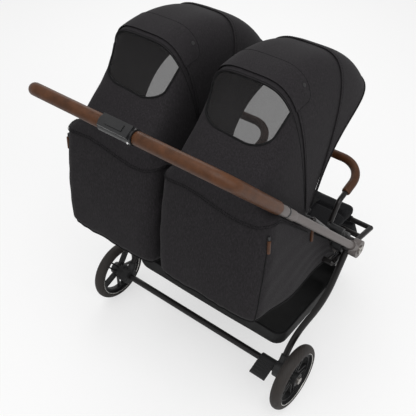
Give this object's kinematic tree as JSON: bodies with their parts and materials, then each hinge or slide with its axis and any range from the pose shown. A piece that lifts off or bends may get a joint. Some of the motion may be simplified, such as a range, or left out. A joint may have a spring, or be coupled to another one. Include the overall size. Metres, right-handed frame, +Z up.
{
  "type": "side by side double stroller",
  "caption": "Folding side by side double stroller with separate reclining seats, nested swinging canopies, bumper bars, swivelling front wheels, foot brake and a folding push handle.",
  "frame": {"origin": "on the floor under the middle of the whole stroller", "axes": "+Z up; the stroller faces -Y; the pusher stands at +Y and looks along -Y, with +X at the left hand"},
  "size_m": [0.7666, 0.8601, 1.0445],
  "materials": {
    "frame_paint": "satin powder coat",
    "dark_paint": "satin powder coat",
    "black_plastic": "fine grain",
    "steel": "plated",
    "tyre": "moulded foam rubber",
    "charcoal_fabric": "melange weave",
    "cushion_fabric": "padded weave",
    "basket_fabric": "black nylon weave",
    "brown_leather": "stitched leatherette"
  },
  "bodies": {
    "front_frame": {"front_leg_left": "frame_paint", "front_leg_right": "frame_paint", "front_crossbar": "frame_paint", "footrest": "black_plastic", "hinge_hub_left": "black_plastic", "hinge_hub_right": "black_plastic", "hinge_pin_left": "steel", "hinge_pin_right": "steel", "seat_frame": "dark_paint", "center_post": "dark_paint", "canopy_post_left": "dark_paint", "canopy_post_right": "dark_paint", "canopy_pins": "black_plastic", "basket": "basket_fabric", "seat_pad_left": "cushion_fabric", "seat_pad_right": "cushion_fabric", "seat_shell_left": "charcoal_fabric", "seat_shell_right": "charcoal_fabric", "canopy_hood_left": "charcoal_fabric", "canopy_hood_right": "charcoal_fabric"},
    "push_frame": {"push_tube": "frame_paint", "grip_left": "brown_leather", "grip_right": "brown_leather", "button_housing": "black_plastic", "arm_knuckle_left": "dark_paint", "arm_knuckle_right": "dark_paint"},
    "fold_button": {"fold_button": "black_plastic"},
    "rear_frame": {"rear_leg_left": "frame_paint", "rear_leg_right": "frame_paint", "rear_axle": "frame_paint", "axle_rod": "steel", "brake_case_left": "black_plastic", "brake_case_right": "black_plastic"},
    "brake_pedal": {"brake_pedal": "black_plastic"},
    "brake_pin_left": {"brake_pin_left": "steel"},
    "rear_wheel_left": {"rear_wheel_left": "black_plastic", "rear_tyre_left": "tyre"},
    "caster_left": {"caster_left": "black_plastic", "front_axle_left": "steel"},
    "front_wheel_left": {"front_wheel_left": "black_plastic", "front_tyre_left": "tyre"},
    "canopy_visor_left": {"canopy_visor_left": "charcoal_fabric"},
    "canopy_mid_left": {"canopy_mid_left": "charcoal_fabric"},
    "bumper_left": {"bumper_tube_left": "frame_paint", "bumper_sleeve_left": "brown_leather"},
    "leg_rest_left": {"leg_rest_left": "cushion_fabric"},
    "backrest_left": {"backrest_left": "cushion_fabric"},
    "brake_pin_right": {"brake_pin_right": "steel"},
    "rear_wheel_right": {"rear_wheel_right": "black_plastic", "rear_tyre_right": "tyre"},
    "caster_right": {"caster_right": "black_plastic", "front_axle_right": "steel"},
    "front_wheel_right": {"front_wheel_right": "black_plastic", "front_tyre_right": "tyre"},
    "canopy_visor_right": {"canopy_visor_right": "charcoal_fabric"},
    "canopy_mid_right": {"canopy_mid_right": "charcoal_fabric"},
    "bumper_right": {"bumper_tube_right": "frame_paint", "bumper_sleeve_right": "brown_leather"},
    "leg_rest_right": {"leg_rest_right": "cushion_fabric"},
    "backrest_right": {"backrest_right": "cushion_fabric"}
  },
  "joints": [
    {"name": "handle_fold", "type": "hinge", "parent": "front_frame", "child": "push_frame", "pos_m": [0, -0.095, 0.452], "axis": [1, 0, 0], "range_deg": [0, 160]},
    {"name": "fold_button_press", "type": "slide", "parent": "push_frame", "child": "fold_button", "axis": [0, -0.5299, -0.848], "range_m": [0, 0.003], "stiffness_N_per_m": 600, "springref_m": -0.002},
    {"name": "rear_leg_fold", "type": "hinge", "parent": "front_frame", "child": "rear_frame", "pos_m": [0, -0.095, 0.452], "axis": [-1, 0, 0], "range_deg": [0, 43.2]},
    {"name": "brake_pedal_turn", "type": "hinge", "parent": "rear_frame", "child": "brake_pedal", "pos_m": [0, 0.15, 0.105], "axis": [-1, 0, 0], "range_deg": [0, 20]},
    {"name": "brake_pin_slide_left", "type": "slide", "parent": "rear_frame", "child": "brake_pin_left", "axis": [1, 0, 0], "range_m": [0, 0.007]},
    {"name": "rear_wheel_spin_left", "type": "hinge", "parent": "rear_frame", "child": "rear_wheel_left", "pos_m": [0.35, 0.15, 0.105], "axis": [1, 0, 0], "continuous": true},
    {"name": "caster_swivel_left", "type": "hinge", "parent": "front_frame", "child": "caster_left", "pos_m": [0.185, -0.379, 0.19], "axis": [0, 0, 1], "continuous": true},
    {"name": "front_wheel_spin_left", "type": "hinge", "parent": "caster_left", "child": "front_wheel_left", "pos_m": [0.185, -0.352, 0.078], "axis": [1, 0, 0], "continuous": true},
    {"name": "canopy_visor_swing_left", "type": "hinge", "parent": "front_frame", "child": "canopy_visor_left", "pos_m": [0.155, 0.075, 0.645], "axis": [-1, 0, 0], "range_deg": [0, 70]},
    {"name": "canopy_mid_swing_left", "type": "hinge", "parent": "front_frame", "child": "canopy_mid_left", "pos_m": [0.155, 0.075, 0.645], "axis": [-1, 0, 0], "range_deg": [0, 35]},
    {"name": "bumper_swing_left", "type": "hinge", "parent": "front_frame", "child": "bumper_left", "pos_m": [0.155, -0.074, 0.505], "axis": [-1, 0, 0], "range_deg": [0, 70]},
    {"name": "leg_rest_lift_left", "type": "hinge", "parent": "front_frame", "child": "leg_rest_left", "pos_m": [0.155, -0.285, 0.366], "axis": [-1, 0, 0], "range_deg": [0, 60]},
    {"name": "backrest_recline_left", "type": "hinge", "parent": "front_frame", "child": "backrest_left", "pos_m": [0.155, -0.04, 0.411], "axis": [1, 0, 0], "range_deg": [0, 50]},
    {"name": "brake_pin_slide_right", "type": "slide", "parent": "rear_frame", "child": "brake_pin_right", "axis": [-1, 0, 0], "range_m": [0, 0.007]},
    {"name": "rear_wheel_spin_right", "type": "hinge", "parent": "rear_frame", "child": "rear_wheel_right", "pos_m": [-0.35, 0.15, 0.105], "axis": [1, 0, 0], "continuous": true},
    {"name": "caster_swivel_right", "type": "hinge", "parent": "front_frame", "child": "caster_right", "pos_m": [-0.185, -0.379, 0.19], "axis": [0, 0, 1], "continuous": true},
    {"name": "front_wheel_spin_right", "type": "hinge", "parent": "caster_right", "child": "front_wheel_right", "pos_m": [-0.185, -0.352, 0.078], "axis": [1, 0, 0], "continuous": true},
    {"name": "canopy_visor_swing_right", "type": "hinge", "parent": "front_frame", "child": "canopy_visor_right", "pos_m": [-0.155, 0.075, 0.645], "axis": [-1, 0, 0], "range_deg": [0, 70]},
    {"name": "canopy_mid_swing_right", "type": "hinge", "parent": "front_frame", "child": "canopy_mid_right", "pos_m": [-0.155, 0.075, 0.645], "axis": [-1, 0, 0], "range_deg": [0, 35]},
    {"name": "bumper_swing_right", "type": "hinge", "parent": "front_frame", "child": "bumper_right", "pos_m": [-0.155, -0.074, 0.505], "axis": [-1, 0, 0], "range_deg": [0, 70]},
    {"name": "leg_rest_lift_right", "type": "hinge", "parent": "front_frame", "child": "leg_rest_right", "pos_m": [-0.155, -0.285, 0.366], "axis": [-1, 0, 0], "range_deg": [0, 60]},
    {"name": "backrest_recline_right", "type": "hinge", "parent": "front_frame", "child": "backrest_right", "pos_m": [-0.155, -0.04, 0.411], "axis": [1, 0, 0], "range_deg": [0, 50]}
  ],
  "couplings": [
    {"joint": "rear_leg_fold", "follows": "handle_fold", "ratio": 0.27},
    {"joint": "brake_pin_slide_left", "follows": "brake_pedal_turn", "m_per_rad": 0.02},
    {"joint": "canopy_mid_swing_left", "follows": "canopy_visor_swing_left", "ratio": 0.5},
    {"joint": "brake_pin_slide_right", "follows": "brake_pedal_turn", "m_per_rad": 0.02},
    {"joint": "canopy_mid_swing_right", "follows": "canopy_visor_swing_right", "ratio": 0.5}
  ]
}
